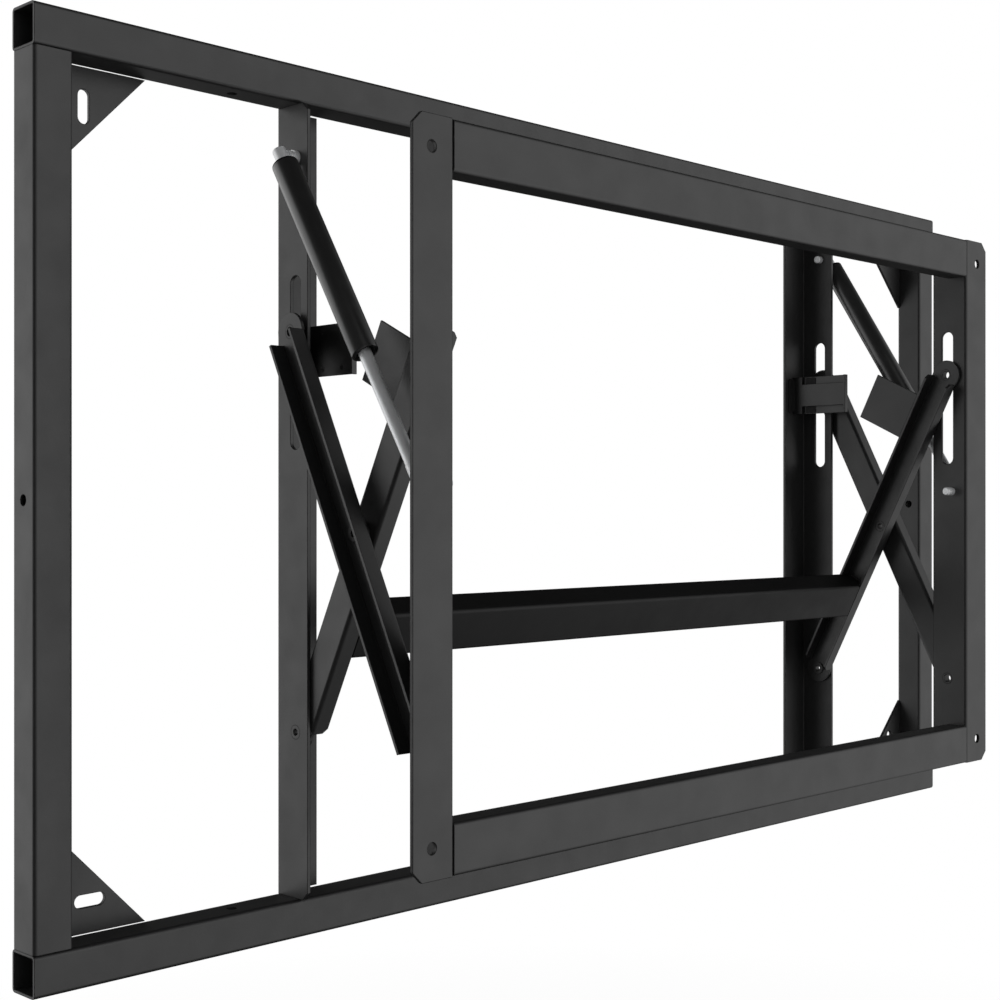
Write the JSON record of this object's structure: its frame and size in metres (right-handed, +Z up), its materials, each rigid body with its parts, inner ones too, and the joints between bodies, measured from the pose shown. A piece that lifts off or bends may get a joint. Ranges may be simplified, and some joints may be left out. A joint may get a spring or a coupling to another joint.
{
  "type": "tv wall mount",
  "caption": "Pop-out video wall mount: square tube wall frame, scissor arms with gas springs and a front frame that carries a display.",
  "frame": {"origin": "middle of the wall frame's outline, on the wall plane that the backs of the tubes lie on", "axes": "+Z up, +X along the wall to the right as seen from the display side, -Y out of the wall towards the display"},
  "size_m": [1.19, 0.202, 0.684],
  "materials": {
    "coat": "satin powder coat",
    "coat_dark": "satin powder coat",
    "zinc": "zinc plated",
    "rod": "polished",
    "cylinder": "gloss",
    "gland": "matt"
  },
  "bodies": {
    "wall_frame": {"top_tube": "coat", "bottom_tube": "coat", "left_tube": "coat", "right_tube": "coat", "gusset_top_left": "coat", "gusset_top_right": "coat", "gusset_bottom_left": "coat", "gusset_bottom_right": "coat", "left_upright": "coat", "right_upright": "coat", "left_catch": "coat_dark", "right_catch": "coat_dark", "left_wall_stud": "zinc", "right_wall_stud": "zinc", "left_wall_pivot": "coat_dark", "right_wall_pivot": "coat_dark"},
    "inner_arms": {"left_inner_arm": "coat_dark", "right_inner_arm": "coat_dark", "crossbar": "coat_dark", "left_striker": "coat_dark", "right_striker": "coat_dark", "left_centre_pivot": "coat_dark", "right_centre_pivot": "coat_dark", "left_front_slider": "coat_dark", "right_front_slider": "coat_dark"},
    "left_outer": {"left_outer_arm": "coat_dark", "left_wall_slider": "coat_dark"},
    "right_outer": {"right_outer_arm": "coat_dark", "right_wall_slider": "coat_dark"},
    "front_frame": {"left_post": "coat", "right_post": "coat", "top_rail": "coat", "bottom_rail": "coat", "left_front_pivot": "coat_dark", "right_front_pivot": "coat_dark", "left_front_stud": "zinc", "right_front_stud": "zinc"},
    "left_spring_cylinder": {"left_cylinder": "cylinder", "left_gland": "gland", "left_cylinder_eye": "zinc"},
    "right_spring_cylinder": {"right_cylinder": "cylinder", "right_gland": "gland", "right_cylinder_eye": "zinc"},
    "left_spring_rod": {"left_rod": "rod", "left_rod_eye": "zinc"},
    "right_spring_rod": {"right_rod": "rod", "right_rod_eye": "zinc"}
  },
  "joints": [
    {"name": "fold", "type": "hinge", "parent": "wall_frame", "child": "inner_arms", "pos_m": [0, -0.024, -0.1815], "axis": [1, 0, 0], "range_deg": [-16, 0]},
    {"name": "left_cross", "type": "hinge", "parent": "inner_arms", "child": "left_outer", "pos_m": [-0.366, -0.102, -0.02429], "axis": [1, 0, 0], "range_deg": [0, 32]},
    {"name": "right_cross", "type": "hinge", "parent": "inner_arms", "child": "right_outer", "pos_m": [0.366, -0.102, -0.02429], "axis": [1, 0, 0], "range_deg": [0, 32]},
    {"name": "front_level", "type": "hinge", "parent": "left_outer", "child": "front_frame", "pos_m": [-0.366, -0.18, -0.1815], "axis": [1, 0, 0], "range_deg": [-16, 0]},
    {"name": "left_spring_swing", "type": "hinge", "parent": "wall_frame", "child": "left_spring_cylinder", "pos_m": [-0.38, -0.024, 0.2693], "axis": [1, 0, 0], "range_deg": [0, 16.7]},
    {"name": "right_spring_swing", "type": "hinge", "parent": "wall_frame", "child": "right_spring_cylinder", "pos_m": [0.38, -0.024, 0.2693], "axis": [1, 0, 0], "range_deg": [0, 16.7]},
    {"name": "left_rod_swing", "type": "hinge", "parent": "front_frame", "child": "left_spring_rod", "pos_m": [-0.38, -0.185, 0.0123], "axis": [1, 0, 0], "range_deg": [0, 16.7]},
    {"name": "right_rod_swing", "type": "hinge", "parent": "front_frame", "child": "right_spring_rod", "pos_m": [0.38, -0.185, 0.0123], "axis": [1, 0, 0], "range_deg": [0, 16.7]}
  ],
  "couplings": [
    {"joint": "left_cross", "follows": "fold", "ratio": -2},
    {"joint": "right_cross", "follows": "fold", "ratio": -2},
    {"joint": "front_level", "follows": "fold", "ratio": 1},
    {"joint": "left_spring_swing", "follows": "fold", "ratio": -1.04},
    {"joint": "right_spring_swing", "follows": "fold", "ratio": -1.04},
    {"joint": "left_rod_swing", "follows": "fold", "ratio": -1.04},
    {"joint": "right_rod_swing", "follows": "fold", "ratio": -1.04}
  ]
}
